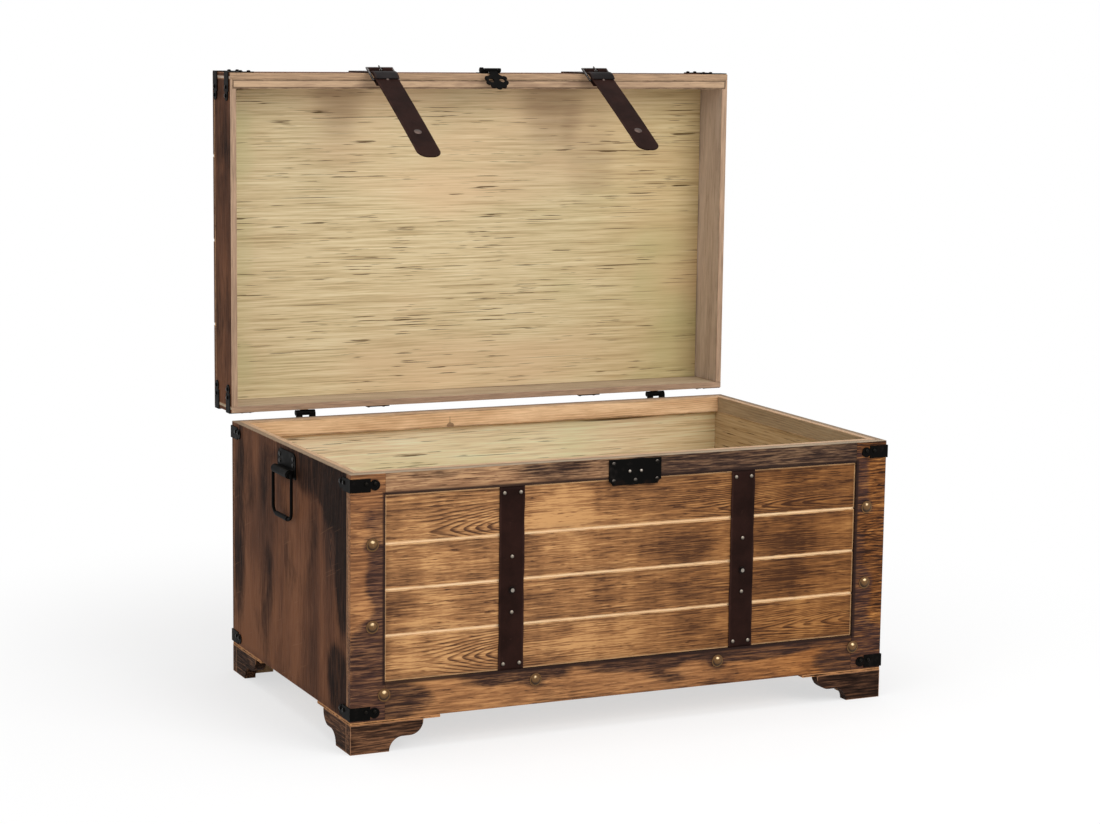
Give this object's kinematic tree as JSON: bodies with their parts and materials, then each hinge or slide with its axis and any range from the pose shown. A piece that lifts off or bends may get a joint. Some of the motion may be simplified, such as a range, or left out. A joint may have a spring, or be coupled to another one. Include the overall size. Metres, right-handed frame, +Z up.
{
  "type": "lift-lid storage trunk",
  "caption": "Low wooden storage trunk with a planked front, hinged lid, leather straps with buckles, hasp lock, iron corners, side bails and bracket feet.",
  "frame": {"origin": "on the floor, in the middle of the space that the trunk takes up with its lid open", "axes": "+Z up, +X along the front to the right as seen from in front, -Y the way the front faces"},
  "size_m": [0.828, 0.575, 0.8779],
  "materials": {
    "front_wood": "stained and rubbed pine, burnt at the edges",
    "dark_wood": "dark stained, satin",
    "raw_pine": "raw, matt",
    "pale_pine": "planed, unfinished",
    "straw_lining": "straw-coloured veneer, matt",
    "leather": "dark, waxed",
    "black_iron": "black, worn satin",
    "brass": "aged",
    "steel": "dull"
  },
  "bodies": {
    "trunk": {"front_left_stile": "front_wood", "front_right_stile": "front_wood", "front_top_rail": "front_wood", "front_bottom_rail": "front_wood", "front_plank_1": "front_wood", "front_plank_2": "front_wood", "front_plank_3": "front_wood", "front_plank_4": "front_wood", "left_side_board": "dark_wood", "right_side_board": "dark_wood", "back_board": "dark_wood", "front_lining": "dark_wood", "foot_plates": "dark_wood", "foot_face_brackets": "dark_wood", "foot_side_brackets": "dark_wood", "foot_blocks": "dark_wood", "front_splines": "raw_pine", "front_batten": "pale_pine", "back_batten": "pale_pine", "left_batten": "pale_pine", "right_batten": "pale_pine", "left_lining": "straw_lining", "right_lining": "straw_lining", "back_lining": "straw_lining", "bottom_board": "straw_lining", "front_straps": "leather", "body_corner_irons": "black_iron", "lock_plate": "black_iron", "hinge_body_leaves": "black_iron", "handle_plates": "black_iron", "body_screws": "black_iron", "dome_nails": "brass", "body_small_nails": "steel", "snap_studs": "steel", "lock_studs": "steel", "hinge_pins": "steel"},
    "lid": {"lid_back_board": "dark_wood", "lid_front_board": "dark_wood", "lid_left_board": "dark_wood", "lid_right_board": "dark_wood", "lid_lining": "straw_lining", "lid_front_batten": "pale_pine", "lid_planks": "dark_wood", "lid_splines": "raw_pine", "lid_straps": "leather", "lid_small_nails": "steel", "lid_corner_irons": "black_iron", "hinge_lid_leaves": "black_iron", "lid_screws": "black_iron", "hasp_base": "black_iron", "hasp_pin": "black_iron"},
    "hasp": {"hasp_tongue": "black_iron"},
    "strap_left": {"buckle_left": "steel", "strap_end_left": "leather", "snap_cap_left": "steel"},
    "strap_right": {"buckle_right": "steel", "strap_end_right": "leather", "snap_cap_right": "steel"},
    "handle_left": {"handle_bail_left": "black_iron"},
    "handle_right": {"handle_bail_right": "black_iron"}
  },
  "joints": [
    {"name": "lid_hinge", "type": "hinge", "parent": "trunk", "child": "lid", "pos_m": [0, 0.20745, 0.3745], "axis": [1, 0, 0], "range_deg": [0, 90]},
    {"name": "strap_left_swing", "type": "hinge", "parent": "lid", "child": "strap_left", "pos_m": [-0.173, 0.20155, 0.8711], "axis": [1, 0, 0], "range_deg": [-31.5, 0]},
    {"name": "strap_right_swing", "type": "hinge", "parent": "lid", "child": "strap_right", "pos_m": [0.173, 0.20155, 0.8711], "axis": [1, 0, 0], "range_deg": [-31.5, 0]},
    {"name": "hasp_swing", "type": "hinge", "parent": "lid", "child": "hasp", "pos_m": [0.0055, 0.20505, 0.8715], "axis": [1, 0, 0], "range_deg": [-42.5, 0]},
    {"name": "handle_left_swing", "type": "hinge", "parent": "trunk", "child": "handle_left", "pos_m": [-0.408, -0.04105, 0.335], "axis": [0, 1, 0], "range_deg": [0, 95]},
    {"name": "handle_right_swing", "type": "hinge", "parent": "trunk", "child": "handle_right", "pos_m": [0.408, -0.04105, 0.335], "axis": [0, -1, 0], "range_deg": [0, 95]}
  ],
  "couplings": [
    {"joint": "strap_left_swing", "follows": "lid_hinge", "ratio": -0.34444},
    {"joint": "strap_right_swing", "follows": "lid_hinge", "ratio": -0.34444},
    {"joint": "hasp_swing", "follows": "lid_hinge", "ratio": -0.46667}
  ]
}
